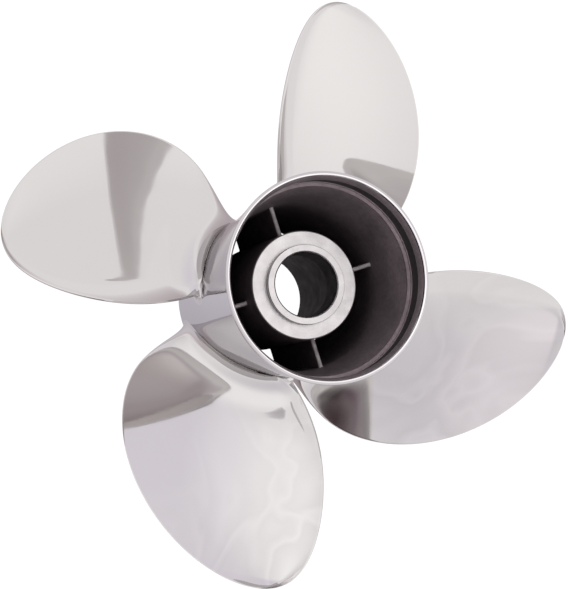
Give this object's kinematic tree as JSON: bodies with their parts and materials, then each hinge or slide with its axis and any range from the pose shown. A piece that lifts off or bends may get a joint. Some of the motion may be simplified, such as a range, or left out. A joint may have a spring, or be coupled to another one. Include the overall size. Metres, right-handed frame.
{
  "type": "outboard boat propeller",
  "caption": "Right-hand outboard propeller in mirror-polished stainless steel: raked helical blades on a flared barrel, with exhaust passages through the hub.",
  "frame": {"origin": "on the shaft axis, in the plane of the barrel's flat front face, which the propeller rests on", "axes": "+Z along the shaft axis towards the aft end, where the exhaust leaves; +X and +Y across it, +Y near the direction in which blade_1 points"},
  "size_m": [0.3512, 0.3512, 0.1507],
  "materials": {
    "polished_steel": "mirror-polished stainless steel",
    "machined_steel": "bright satin, as cast and faced",
    "passage_black": "satin black, thin, on cast steel"
  },
  "bodies": {
    "root": {"outer_barrel": "polished_steel", "inner_hub": "machined_steel", "rib_1": "passage_black", "rib_2": "passage_black", "rib_3": "passage_black", "rib_4": "passage_black", "blade_1": "polished_steel", "blade_2": "polished_steel", "blade_3": "polished_steel", "blade_4": "polished_steel"}
  },
  "joints": []
}
